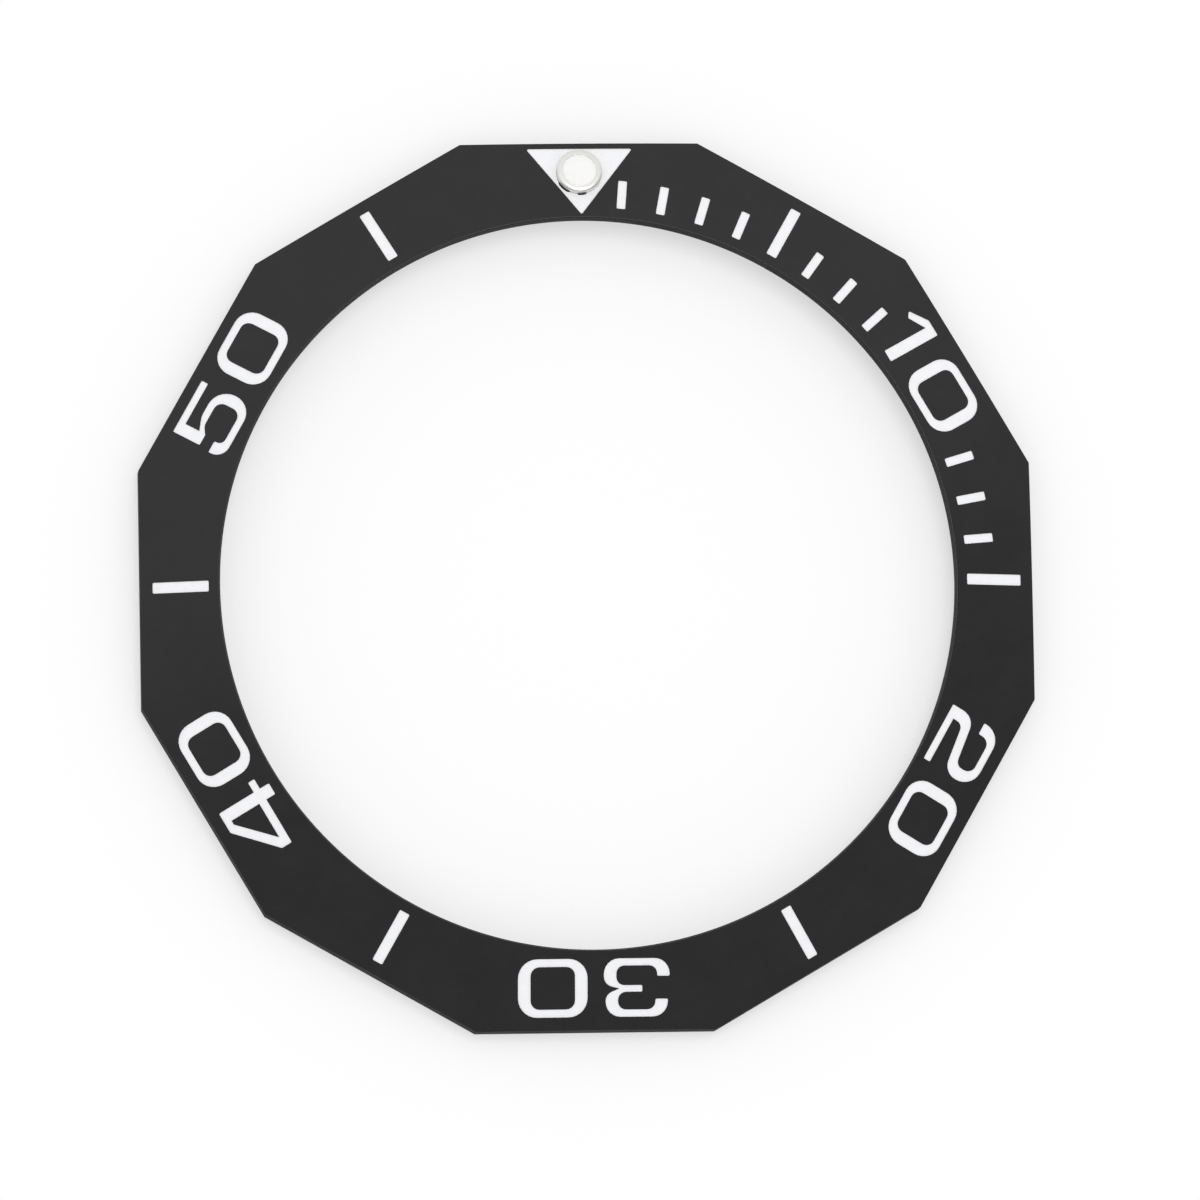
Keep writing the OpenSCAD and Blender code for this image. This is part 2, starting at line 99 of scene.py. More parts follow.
class Wiring:
    """Places and joins the nodes of one shader tree."""

    def __init__(self, tree: bpy.types.NodeTree) -> None:
        """Keeps the shader tree that the nodes go into."""
        self.tree = tree

    def node(self, kind: str, inputs: dict | None = None, **settings: object) -> bpy.types.Node:
        """Adds a node.

        Args:
            kind: Type of the node.
            inputs: A value or a source socket for each input, by its name or number.
            settings: Properties of the node itself.

        Returns:
            The new node.
        """
        made = self.tree.nodes.new(kind)
        for key, value in settings.items():
            setattr(made, key, value)
        for key, value in (inputs or {}).items():
            self.feed(made.inputs[key], value)
        return made

    def feed(self, socket: bpy.types.NodeSocket, value: Feed) -> None:
        """Joins a source to a socket, or sets the socket's own value.

        Args:
            socket: The input to feed.
            value: A source socket or a plain value. A colour becomes fully opaque.
        """
        if isinstance(value, bpy.types.NodeSocket):
            self.tree.links.new(value, socket)
        else:
            socket.default_value = (*value, 1.0) if socket.type == "RGBA" else value

    def effect(self, group: bpy.types.NodeTree, where: Feed, **numbers: float) -> Feed:
        """Places one of the shared effects.

        Args:
            group: The effect.
            where: The places that its pattern reads.
            numbers: Values for its number inputs.

        Returns:
            The effect's result.
        """
        inputs = {"Vector": where, **numbers}
        return self.node("ShaderNodeGroup", inputs, node_tree=group).outputs[0]

    def math(self, operation: str, a: Feed, b: Feed = 0.0) -> Feed:
        """Returns the result of a Math node on one or two numbers."""
        return self.node("ShaderNodeMath", {0: a, 1: b}, operation=operation).outputs[0]

    def plus(self, base: Feed, value: Feed, factor: float) -> Feed:
        """Returns a number plus a multiple of another one."""
        return self.math("ADD", base, self.math("MULTIPLY", value, factor))

    def weigh(self, a: Feed, b: Feed, share: float) -> Feed:
        """Returns two numbers' sum, in which the second has a share and the first the rest."""
        return self.plus(self.math("MULTIPLY", a, 1.0 - share), b, share)

    def highest(self, first: Feed, *others: Feed) -> Feed:
        """Returns the highest of some numbers."""
        for other in others:
            first = self.math("MAXIMUM", first, other)
        return first

    def spread(self, value: Feed, low: float, high: float) -> Feed:
        """Returns a value from 0 to 1 spread over another range."""
        inputs = {"Value": value, "To Min": low, "To Max": high}
        return self.node("ShaderNodeMapRange", inputs).outputs["Result"]

    def threshold(self, value: Feed, start: float, end: float) -> Feed:
        """Returns a smooth step from 0 at start to 1 at end."""
        inputs = {"Value": value, "From Min": start, "From Max": end}
        node = self.node("ShaderNodeMapRange", inputs, interpolation_type="SMOOTHSTEP")
        return node.outputs["Result"]

    def blend(self, factor: Feed, a: Feed, b: Feed) -> Feed:
        """Mixes two colours.

        Args:
            factor: Share of the second colour, from 0 to 1.
            a: The first colour.
            b: The second colour.

        Returns:
            The mixed colour.
        """
        node = self.node("ShaderNodeMix", data_type="RGBA")
        self.feed(node.inputs["Factor"], factor)
        for socket, colour in zip([s for s in node.inputs if s.type == "RGBA"], (a, b)):
            self.feed(socket, colour)
        return next(s for s in node.outputs if s.type == "RGBA")

    def noise(self, where: Feed, scale: Feed, detail: float) -> Feed:
        """Returns a noise value about 0.5 at places given in millimetres."""
        inputs = {"Vector": where, "Scale": scale, "Detail": detail}
        return self.node("ShaderNodeTexNoise", inputs).outputs[0]

    def places(self, centre: tuple[float, float, float] = (0.0, 0.0, 0.0),
               tilt: float = 0.0) -> Feed:
        """Gives the piece's own coordinates in millimetres.

        Args:
            centre: The point, in millimetres, that becomes the origin.
            tilt: Turn about X, in radians, that the pattern's frame has.

        Returns:
            The vector socket.
        """
        source = self.node("ShaderNodeTexCoord").outputs["Object"]
        scaled = self.node("ShaderNodeMapping", {"Vector": source, "Scale": (PER_MM,) * 3},
                           vector_type="POINT").outputs[0]
        placing = {"Vector": scaled, "Location": centre, "Rotation": (tilt, 0.0, 0.0)}
        return self.node("ShaderNodeMapping", placing, vector_type="TEXTURE").outputs[0]

    def bump(self, height: Feed, depth: float) -> Feed:
        """Returns the normals of a relief whose heights from 0 to 1 span a depth in millimetres."""
        inputs = {"Height": height, "Distance": depth * MM}
        return self.node("ShaderNodeBump", inputs).outputs["Normal"]

    def rays(self, *kinds: Ray) -> Feed:
        """Returns 1 for a light ray of any of the given kinds, and 0 for the others."""
        path = self.node("ShaderNodeLightPath").outputs
        return self.highest(*(path[kind.value] for kind in kinds))

    def opened(self, where: Feed, shader: Feed) -> Feed:
        """Returns a shader that lets light straight through where a mask is 1."""
        clear = self.node("ShaderNodeBsdfTransparent").outputs[0]
        return self.node("ShaderNodeMixShader", {0: where, 1: shader, 2: clear}).outputs[0]


@dataclass(frozen=True)
class Effects:
    """Shader node groups that several finishes share, each built once.

    Each range holds the two values of a noise or a distance between which a smooth step rises.
    A lay is the turn in radians and the shift in millimetres of one direction of hairlines.
    """

    mottle_range: Span = (0.32, 0.68)
    fine_ratio: float = 4.7
    fine_share: float = 0.35
    grain_range: Span = (0.25, 0.75)
    hairline_range: Span = (0.70, 0.78)
    hairline_lays: tuple[Span, ...] = ((0.45, 3.0), (-0.95, 11.0))
    hairline_scale: tuple[float, float, float] = (0.35, 26.0, 0.35)
    waver: float = 0.15
    speck_range: Span = (0.06, 0.16)

    def group(self, name: str, inputs: dict[str, float], output: str,
              wire: Callable[[Wiring, dict[str, Feed]], Feed]) -> bpy.types.NodeTree:
        """Builds a group with a place, some numbers and one result.

        Args:
            name: Name of the group.
            inputs: Names of its number inputs with their usual values.
            output: Name of its result.
            wire: Fills the group and returns the socket of the result.

        Returns:
            The group.
        """
        tree = bpy.data.node_groups.new(name, "ShaderNodeTree")
        tree.interface.new_socket("Vector", in_out="INPUT", socket_type="NodeSocketVector")
        for key, value in inputs.items():
            socket = tree.interface.new_socket(key, in_out="INPUT", socket_type="NodeSocketFloat")
            socket.default_value = value
        tree.interface.new_socket(output, in_out="OUTPUT", socket_type="NodeSocketFloat")
        wiring = Wiring(tree)
        entry = wiring.node("NodeGroupInput")
        result = wire(wiring, {s.name: s for s in entry.outputs if s.name})
        wiring.node("NodeGroupOutput", {0: result})
        return tree

    @cached_property
    def mottle(self) -> bpy.types.NodeTree:
        """Soft uneven patches, as of pigment that settled unevenly."""
        def wire(w: Wiring, given: dict[str, Feed]) -> Feed:
            """Adds a finer noise to a coarse one and makes the sum steeper.

            Args:
                w: The group's wiring.
                given: The group's inputs by their names.

            Returns:
                The patches, from 0 to 1.
            """
            coarse = w.noise(given["Vector"], given["Scale"], detail=3.0)
            finer = w.math("MULTIPLY", given["Scale"], self.fine_ratio)
            fine = w.noise(given["Vector"], finer, detail=2.0)
            return w.threshold(w.weigh(coarse, fine, self.fine_share), *self.mottle_range)
        return self.group("mottle", {"Scale": 1.0}, "Value", wire)

    @cached_property
    def grain(self) -> bpy.types.NodeTree:
        """Fine even grain."""
        def wire(w: Wiring, given: dict[str, Feed]) -> Feed:
            """Returns a noise that is made steeper."""
            fine = w.noise(given["Vector"], given["Scale"], detail=4.0)
            return w.threshold(fine, *self.grain_range)
        return self.group("grain", {"Scale": 20.0}, "Value", wire)

    @cached_property
    def hairlines(self) -> bpy.types.NodeTree:
        """Sparse thin scratches of handling, in two crossing directions."""
        def wire(w: Wiring, given: dict[str, Feed]) -> Feed:
            """Stretches a noise along each lay and keeps its peaks.

            Args:
                w: The group's wiring.
                given: The group's inputs by their names.

            Returns:
                The scratches' mask.
            """
            masks = []
            for turn, shift in self.hairline_lays:
                laid = w.node("ShaderNodeMapping", {
                    "Vector": given["Vector"],
                    "Location": (shift, shift, 0.0),
                    "Rotation": (0.0, 0.0, turn),
                    "Scale": self.hairline_scale,
                }).outputs[0]
                streak = w.noise(laid, scale=1.0, detail=1.0)
                masks.append(w.threshold(streak, *self.hairline_range))
            return w.math("MULTIPLY", w.highest(*masks), given["Amount"])
        return self.group("hairlines", {"Amount": 1.0}, "Mask", wire)

    @cached_property
    def turning(self) -> bpy.types.NodeTree:
        """Fine lines round the Z axis that turning, grinding or lapping leaves."""
        def wire(w: Wiring, given: dict[str, Feed]) -> Feed:
            """Reads a noise by radius and height, so that it runs in rings.

            Args:
                w: The group's wiring.
                given: The group's inputs by their names.

            Returns:
                The lines, about 0.5.
            """
            x, y, z = w.node("ShaderNodeSeparateXYZ", {"Vector": given["Vector"]}).outputs
            flat = w.node("ShaderNodeCombineXYZ", {"X": x, "Y": y}).outputs[0]
            radius = w.node("ShaderNodeVectorMath", {0: flat}, operation="LENGTH").outputs["Value"]
            line = w.node("ShaderNodeCombineXYZ", {
                "X": w.math("MULTIPLY", radius, given["Radial"]),
                "Y": w.math("MULTIPLY", w.math("ADD", x, y), self.waver),
                "Z": w.math("MULTIPLY", z, given["Level"]),
            }).outputs[0]
            return w.noise(line, scale=1.0, detail=3.0)
        return self.group("turning", {"Radial": 0.0, "Level": 0.0}, "Value", wire)

    @cached_property
    def specks(self) -> bpy.types.NodeTree:
        """A few tiny round specks, as of dust or trapped air."""
        def wire(w: Wiring, given: dict[str, Feed]) -> Feed:
            """Puts a dot in the middle of each cell and keeps some of the dots.

            Args:
                w: The group's wiring.
                given: The group's inputs by their names.

            Returns:
                The specks' mask.
            """
            inputs = {"Vector": given["Vector"], "Scale": given["Scale"]}
            cells = w.node("ShaderNodeTexVoronoi", inputs).outputs
            near = w.math("SUBTRACT", 1.0, w.threshold(cells["Distance"], *self.speck_range))
            lot = w.node("ShaderNodeSeparateColor", {0: cells["Color"]}).outputs[0]
            return w.math("MULTIPLY", near, w.math("LESS_THAN", lot, given["Amount"]))
        return self.group("specks", {"Scale": 2.0, "Amount": 0.2}, "Mask", wire)


EFFECTS = Effects()


# The finishes. Scales and lines are counted per millimetre, and depths are in millimetres.


@dataclass(frozen=True)
class Finish:
    """What every finish has: a name and a way to make its material."""

    name: str

    def material(self) -> bpy.types.Material:
        """Makes the material the first time that it is asked for.

        Returns:
            The material.
        """
        found = bpy.data.materials.get(self.name)
        if found is not None:
            return found
        made = bpy.data.materials.new(self.name)
        made.use_nodes = True
        made.node_tree.nodes.clear()
        w = Wiring(made.node_tree)
        shader = w.node("ShaderNodeBsdfPrincipled", self.inputs(w)).outputs[0]
        w.node("ShaderNodeOutputMaterial", {"Surface": self.surface(w, shader)})
        return made

    def inputs(self, w: Wiring) -> dict[str, Feed]:
        """Returns what each of the shader's inputs is fed with."""
        raise NotImplementedError

    def surface(self, w: Wiring, shader: Feed) -> Feed:
        """Returns the shader that reaches the material's output."""
        return shader


@dataclass(frozen=True)
class CeramicFinish(Finish):
    """Black zirconia after polishing, grinding, lapping or engraving.

    How deep lines and hairlines go is given in depths of the grain.
    """

    colour: Colour = (0.0062, 0.0062, 0.0064)
    paler: Colour = (0.0082, 0.0082, 0.0084)
    specular: float = 0.38
    ior: float = 1.5
    smooth: float = 0.17
    rough: float = 0.23
    cloud_scale: float = 0.45
    grain_scale: float = 16.0
    grain_rough: float = 0.02
    grain_depth: float = 0.0003
    turned: float = 0.0
    radial_lines: float = 0.0
    level_lines: float = 0.0
    line_rough: float = 0.2
    line_depth: float = 6.0
    hairlines: float = 0.35
    hairline_rough: float = 0.08
    hairline_depth: float = 1.5

    def inputs(self, w: Wiring) -> dict[str, Feed]:
        """Feeds cloudy polish, grain, turning lines and hairlines to the shader.

        Args:
            w: The material's wiring.

        Returns:
            What each of the shader's inputs is fed with.
        """
        where = w.places()
        cloud = w.effect(EFFECTS.mottle, where, Scale=self.cloud_scale)
        grain = w.effect(EFFECTS.grain, where, Scale=self.grain_scale)
        lines = w.effect(EFFECTS.turning, where, Radial=self.radial_lines, Level=self.level_lines)
        marks = w.effect(EFFECTS.hairlines, where, Amount=self.hairlines)
        polish = w.math("ADD", w.spread(cloud, self.smooth, self.rough),
                        w.spread(grain, 0.0, self.grain_rough))
        polish = w.plus(polish, marks, self.hairline_rough)
        polish = w.plus(polish, lines, self.turned * self.line_rough)
        relief = w.plus(grain, lines, self.turned * self.line_depth)
        relief = w.plus(relief, marks, -self.hairline_depth)
        return {
            "Base Color": w.blend(cloud, self.colour, self.paler),
            "Roughness": polish,
            "Normal": w.bump(relief, self.grain_depth),
            "Specular IOR Level": self.specular,
            "IOR": self.ior,
        }


@dataclass(frozen=True)
class LacquerFinish(Finish):
    """White lacquer wiped into the engraving, with a faint grey mottle.

    How deep a pit goes is given in depths of the grain. The pits' grey is painted shade in their
    hollows.
    """

    colour: Colour = (0.895, 0.897, 0.912)
    greyer: Colour = (0.845, 0.848, 0.865)
    # Grey of the pits: painted shade in their hollows
    pit_shade: Colour = (0.7, 0.7, 0.7)
    specular: float = 0.4
    smooth: float = 0.42
    rough: float = 0.58
    cloud_scale: float = 2.6
    cloud_share: float = 0.8
    grain_scale: float = 22.0
    grain_share: float = 0.5
    grain_depth: float = 0.0035
    pit_scale: float = 5.0
    pit_amount: float = 0.06
    pit_shade_share: float = 0.12
    pit_depth: float = 2.0

    def inputs(self, w: Wiring) -> dict[str, Feed]:
        """Feeds mottled pigment, a fine wiped grain and pits greyed with painted shade to the
        shader.

        Args:
            w: The material's wiring.

        Returns:
            What each of the shader's inputs is fed with.
        """
        where = w.places()
        cloud = w.effect(EFFECTS.mottle, where, Scale=self.cloud_scale)
        grain = w.effect(EFFECTS.grain, where, Scale=self.grain_scale)
        pits = w.effect(EFFECTS.specks, where, Scale=self.pit_scale, Amount=self.pit_amount)
        pigment = w.blend(w.math("MULTIPLY", cloud, self.cloud_share), self.colour, self.greyer)
        wiped = w.weigh(cloud, grain, self.grain_share)
        return {
            # The pits are greyed with painted shade
            "Base Color": w.blend(w.math("MULTIPLY", pits, self.pit_shade_share), pigment, self.pit_shade),
            "Roughness": w.spread(wiped, self.smooth, self.rough),
            "Normal": w.bump(w.plus(grain, pits, -self.pit_depth), self.grain_depth),
            "Specular IOR Level": self.specular,
        }


@dataclass(frozen=True)
class SteelFinish(Finish):
    """Polished steel of the pearl's cup, with faint turning lines round its axis."""

    centre: tuple[float, float, float]
    tilt: float
    colour: Colour = (0.77, 0.762, 0.74)
    warmer: Colour = (0.72, 0.71, 0.685)
    smooth: float = 0.20
    rough: float = 0.34
    tint_scale: float = 1.4
    radial_lines: float = 38.0
    level_lines: float = 30.0
    line_depth: float = 0.0015
    hairlines: float = 0.8
    hairline_rough: float = 0.08

    def inputs(self, w: Wiring) -> dict[str, Feed]:
        """Feeds turned lines, a slight tint and hairlines to the shader.

        Args:
            w: The material's wiring.

        Returns:
            What each of the shader's inputs is fed with.
        """
        where = w.places(self.centre, self.tilt)
        lines = w.effect(EFFECTS.turning, where, Radial=self.radial_lines, Level=self.level_lines)
        tint = w.effect(EFFECTS.mottle, where, Scale=self.tint_scale)
        marks = w.effect(EFFECTS.hairlines, where, Amount=self.hairlines)
        polish = w.spread(lines, self.smooth, self.rough)
        return {
            "Base Color": w.blend(tint, self.colour, self.warmer),
            "Roughness": w.plus(polish, marks, self.hairline_rough),
            "Normal": w.bump(lines, self.line_depth),
            "Metallic": 1.0,
        }


@dataclass(frozen=True)
class LumeFinish(Finish):
    """Luminous compound: a matt off-white paste of fine crystals."""

    colour: Colour = (0.91, 0.909, 0.90)
    shaded: Colour = (0.87, 0.868, 0.857)
    specular: float = 0.2
    smooth: float = 0.7
    rough: float = 0.9
    cloud_scale: float = 1.8
    crystal_scale: float = 14.0
    crystal_depth: float = 0.006

    def inputs(self, w: Wiring) -> dict[str, Feed]:
        """Feeds the crystals' speckle and relief to the shader.

        Args:
            w: The material's wiring.

        Returns:
            What each of the shader's inputs is fed with.
        """
        where = w.places()
        crystals = w.effect(EFFECTS.grain, where, Scale=self.crystal_scale)
        cloud = w.effect(EFFECTS.mottle, where, Scale=self.cloud_scale)
        return {
            "Base Color": w.blend(w.math("MULTIPLY", crystals, cloud), self.colour, self.shaded),
            "Roughness": w.spread(crystals, self.smooth, self.rough),
            "Normal": w.bump(crystals, self.crystal_depth),
            "Specular IOR Level": self.specular,
        }


@dataclass(frozen=True)
class LensFinish(Finish):
    """Clear lens over the luminous compound."""

    colour: Colour = (1.0, 1.0, 1.0)
    dusty: Colour = (0.88, 0.88, 0.88)
    ior: float = 1.5
    smooth: float = 0.01
    rough: float = 0.03
    haze_scale: float = 2.2
    haze_depth: float = 0.0002
    dust_scale: float = 4.0
    dust_amount: float = 0.10
    dust_share: float = 0.2
    hairlines: float = 0.3
    hairline_rough: float = 0.06

    def inputs(self, w: Wiring) -> dict[str, Feed]:
        """Feeds a faint haze, hairlines and dust to a clear shader.

        Args:
            w: The material's wiring.

        Returns:
            What each of the shader's inputs is fed with.
        """
        where = w.places()
        haze = w.effect(EFFECTS.mottle, where, Scale=self.haze_scale)
        marks = w.effect(EFFECTS.hairlines, where, Amount=self.hairlines)
        dust = w.effect(EFFECTS.specks, where, Scale=self.dust_scale, Amount=self.dust_amount)
        dulled = w.math("MULTIPLY", dust, self.dust_share)
        polish = w.spread(haze, self.smooth, self.rough)
        return {
            "Base Color": w.blend(dulled, self.colour, self.dusty),
            "Roughness": w.plus(polish, marks, self.hairline_rough),
            "Normal": w.bump(haze, self.haze_depth),
            "Transmission Weight": 1.0,
            "IOR": self.ior,
        }

    def surface(self, w: Wiring, shader: Feed) -> Feed:
        """Returns the clear shader, with the light that falls on the compound let through."""
        return w.opened(w.rays(Ray.SHADOW, Ray.DIFFUSE), shader)


@dataclass(frozen=True)
class FilmFinish(Finish):
    """Amber bonding film with flow marks and trapped air."""

    colour: Colour = (0.60, 0.50, 0.29)
    deeper: Colour = (0.47, 0.37, 0.19)
    paler: Colour = (0.74, 0.66, 0.46)
    smooth: float = 0.32
    rough: float = 0.55
    flow_scale: float = 0.8
    grain_scale: float = 9.0
    air_scale: float = 1.6
    air_amount: float = 0.25
    depth: float = 0.004

    def inputs(self, w: Wiring) -> dict[str, Feed]:
        """Feeds flow marks, grain and trapped air to the shader.

        Args:
            w: The material's wiring.

        Returns:
            What each of the shader's inputs is fed with.
        """
        where = w.places()
        flow = w.effect(EFFECTS.mottle, where, Scale=self.flow_scale)
        grain = w.effect(EFFECTS.grain, where, Scale=self.grain_scale)
        air = w.effect(EFFECTS.specks, where, Scale=self.air_scale, Amount=self.air_amount)
        body = w.blend(flow, self.colour, self.deeper)
        return {
            "Base Color": w.blend(air, body, self.paler),
            "Roughness": w.spread(w.highest(grain, air), self.smooth, self.rough),
            "Normal": w.bump(w.math("ADD", grain, air), self.depth),
        }


@dataclass(frozen=True)
class FloorFinish(Finish):
    """Plain white floor that keeps the object's shadow."""

    colour: Colour = (0.48, 0.48, 0.48)
    rough: float = 0.9
    specular: float = 0.0
    lift: float = 0.50

    def inputs(self, w: Wiring) -> dict[str, Feed]:
        """Returns a plain matt white for the shader's inputs."""
        return {"Base Color": self.colour, "Roughness": self.rough,
                "Specular IOR Level": self.specular}

    def surface(self, w: Wiring, shader: Feed) -> Feed:
        """Lifts the floor to white where it is seen, and opens it to the sky's light.

        Args:
            w: The material's wiring.
            shader: The floor's own shader.

        Returns:
            The shader that reaches the material's output.
        """
        seen = w.rays(Ray.CAMERA, Ray.GLOSSY, Ray.TRANSMISSION)
        strength = w.math("MULTIPLY", seen, self.lift)
        glow = w.node("ShaderNodeEmission", {"Strength": strength}).outputs[0]
        lit = w.node("ShaderNodeAddShader", {0: shader, 1: glow}).outputs[0]
        behind = w.node("ShaderNodeNewGeometry").outputs["Backfacing"]
        return w.opened(w.highest(behind, w.rays(Ray.DIFFUSE, Ray.SHADOW)), lit)


# Mesh building, in millimetres until a piece is finished


def radius_of(point: Vector) -> float:
    """Returns a point's distance from the Z axis."""
    return math.hypot(point.x, point.y)


def face_out(bm: Mesh) -> None:
    """Turns the faces of a closed mesh outwards."""
    bmesh.ops.recalc_face_normals(bm, faces=bm.faces)


def lathe(profile: Section, steps: int, closed: bool) -> Mesh:
    """Spins a section round the Z axis.

    Args:
        profile: Radius and height of each corner of the section.
        steps: Number of steps in the full turn.
        closed: Whether the last corner joins the first one.

    Returns:
        The turned mesh, with its faces pointing outwards.
    """
    bm = bmesh.new()
    corners = [bm.verts.new((r, 0.0, z)) for r, z in profile]
    pairs = list(zip(corners, corners[1:])) + ([(corners[-1], corners[0])] if closed else [])
    edges = [bm.edges.new(pair) for pair in pairs]
    bmesh.ops.spin(bm, geom=corners + edges, cent=(0, 0, 0), axis=(0, 0, 1),
                   angle=math.tau, steps=steps, use_merge=True)
    bmesh.ops.remove_doubles(bm, verts=bm.verts, dist=SPIN_MERGE)
    face_out(bm)
    return bm


def rounding(centre: tuple[float, float], radius: float, start: float, end: float,
             steps: int, rise: float | None = None) -> Section:
    """Makes a round or elliptical corner of a section.

    Args:
        centre: Radius and height of the arc's centre.
        radius: Reach of the arc from its centre along the section's radius.
        start: Angle at which the arc starts, in degrees.
        end: Angle at which it ends.
        steps: Number of steps along it.
        rise: Reach of the arc along the height, if it isn't the same.

    Returns:
        The corners along the arc.
    """
    high = radius if rise is None else rise
    angles = [math.radians(start + (end - start) * i / steps) for i in range(steps + 1)]
    return [(centre[0] + radius * math.cos(a), centre[1] + high * math.sin(a)) for a in angles]


def bevel(bm: Mesh, geom: Iterable[bmesh.types.BMEdge | bmesh.types.BMVert], width: float,
          segments: int, affect: str = "EDGES") -> None:
    """Rounds edges or corners of a mesh.

    Args:
        bm: The mesh.
        geom: The edges to round, or the corners of a flat outline.
        width: Distance of the rounding's sides from each of them.
        segments: Number of faces or edges across the rounding.
        affect: What is rounded, EDGES or VERTICES.
    """
    bmesh.ops.bevel(bm, geom=list(geom), offset=width, offset_type="OFFSET", segments=segments,
                    profile=0.5, affect=affect, clamp_overlap=True, material=-1)


def thicken(bm: Mesh, height: float) -> None:
    """Makes a solid of a level sheet.

    Args:
        bm: The sheet.
        height: How far its upper side rises.
    """
    raised = bmesh.ops.extrude_face_region(bm, geom=list(bm.faces))["geom"]
    top = [g for g in raised if isinstance(g, bmesh.types.BMVert)]
    bmesh.ops.translate(bm, verts=top, vec=(0, 0, height))
    face_out(bm)


def mark_sharp(bm: Mesh) -> None:
    """Shades a mesh smooth, apart from its open edges and those with a strong turn."""
    for face in bm.faces:
        face.smooth = True
    for edge in bm.edges:
        edge.smooth = len(edge.link_faces) == 2 and edge.calc_face_angle() < SHARP_TURN


def smooth_fan(loop: bmesh.types.BMLoop) -> list[bmesh.types.BMFace]:
    """Gathers the faces round a corner that are reached without crossing a sharp edge.

    Args:
        loop: One face's corner.

    Returns:
        The faces, that face among them.
    """
    fan, grow = [loop.face], [loop.face]
    while grow:
        for edge in grow.pop().edges:
            if edge.smooth and loop.vert in edge.verts:
                fresh = [face for face in edge.link_faces if face not in fan]
                fan += fresh
                grow += fresh
    return fan


def corner_normals(bm: Mesh) -> list[Vector]:
    """Works out shading in which large faces outweigh narrow roundings.

    Args:
        bm: The mesh, with its sharp edges marked.

    Returns:
        A normal for each face's corner.
    """
    areas = {face: face.calc_area() ** 2 for face in bm.faces}
    normals = []
    for face in bm.faces:
        for loop in face.loops:
            parts = [other.normal * areas[other] for other in smooth_fan(loop)]
            normals.append(sum(parts, Vector()).normalized())
    return normals


def merged_copy(node: str) -> Mesh:
    """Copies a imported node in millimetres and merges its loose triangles.

    Args:
        node: Name of the node.

    Returns:
        The copy, with one face for each plane of the node.
    """
    bm = bmesh.new()
    bm.from_mesh(frame["nodes"][node].data)
    bm.transform(Matrix.Scale(PER_MM, 4))
    bmesh.ops.remove_doubles(bm, verts=bm.verts, dist=NODE_MERGE)
    bmesh.ops.dissolve_limit(bm, angle_limit=PLANE_TURN, verts=bm.verts, edges=bm.edges,
                             delimit=set(), use_dissolve_boundaries=False)
    return bm


def add_object(name: str, data: bpy.types.ID) -> bpy.types.Object:
    """Returns a new object of some data, which is put into the scene."""
    made = bpy.data.objects.new(name, data)
    bpy.context.scene.collection.objects.link(made)
    return made


def loose_object(name: str, bm: Mesh, finishes: Iterable[Finish] = ()) -> bpy.types.Object:
    """Makes an object of a mesh and frees the mesh.

    Args:
        name: Name of the object.
        bm: Its mesh.
        finishes: Its materials, in the order of their numbers.

    Returns:
        The new object.
    """
    data = bpy.data.meshes.new(name)
    bm.to_mesh(data)
    bm.free()
    for finish in finishes:
        data.materials.append(finish.material())
    return add_object(name, data)


def cut(bm: Mesh, tools: Iterable[Mesh], finishes: Iterable[Finish] = ()) -> Mesh:
    """Cuts solids out of another solid.

    Args:
        bm: The solid to cut, which is freed.
        tools: The solids to cut it with, which are freed too.
        finishes: The materials that the faces' numbers stand for.

    Returns:
        What is left of the solid.
    """
    body = loose_object("uncut", bm, finishes)
    cutters = [loose_object("cutter", tool) for tool in tools]
    for cutter in cutters:
        step = body.modifiers.new(cutter.name, "BOOLEAN")
        step.operation, step.solver, step.object = "DIFFERENCE", "EXACT", cutter
    bpy.context.view_layer.update()
    result = body.evaluated_get(bpy.context.evaluated_depsgraph_get())
    left = bmesh.new()
    left.from_mesh(result.to_mesh())
    result.to_mesh_clear()
    for spent in [body, *cutters]:
        bpy.data.objects.remove(spent)
    bmesh.ops.remove_doubles(left, verts=left.verts, dist=CUT_MERGE)
    face_out(left)
    return left


def place_piece(name: str, bm: Mesh, finishes: Iterable[Finish],
                stands_for: str) -> bpy.types.Object:
    """Finishes one piece of the object and lets it ride on the part's body.

    Args:
        name: Name of the piece.
        bm: Its mesh in millimetres.
        finishes: Its materials, in the order of their numbers.
        stands_for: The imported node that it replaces.

    Returns:
        The finished piece.
    """
    bm.normal_update()
    mark_sharp(bm)
    normals = corner_normals(bm)
    bm.transform(Matrix.Scale(MM, 4))
    piece = loose_object(name, bm, finishes)
    piece.data.normals_split_custom_set(normals)
    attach(piece, BODY)
    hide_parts(stands_for)
    LOG.info("%s: %d faces, stands for %s", name, len(piece.data.polygons), stands_for)
    return piece


# The pieces, with their sizes in millimetres


class Zone(IntEnum):
    """Surfaces of the ring that are finished differently, by the numbers of their materials."""

    DIAL = 0
    WALL = 1
    UNDERSIDE = 2
    POCKET = 3


RING_FINISHES = (
    CeramicFinish("ceramic_polished"),
    CeramicFinish("ceramic_ground", specular=0.12, smooth=0.60, rough=0.70, turned=0.5,
                  level_lines=26.0, grain_depth=0.0012, hairlines=0.2),
    CeramicFinish("ceramic_lapped", colour=(0.010, 0.010, 0.010), paler=(0.014, 0.014, 0.014),
                  specular=0.3, smooth=0.46, rough=0.6, turned=1.0, radial_lines=14.0,
                  grain_depth=0.002, hairlines=0.2),
    CeramicFinish("ceramic_engraved", specular=0.1, smooth=0.75, rough=0.9,
                  grain_depth=0.004, hairlines=0.0),
)


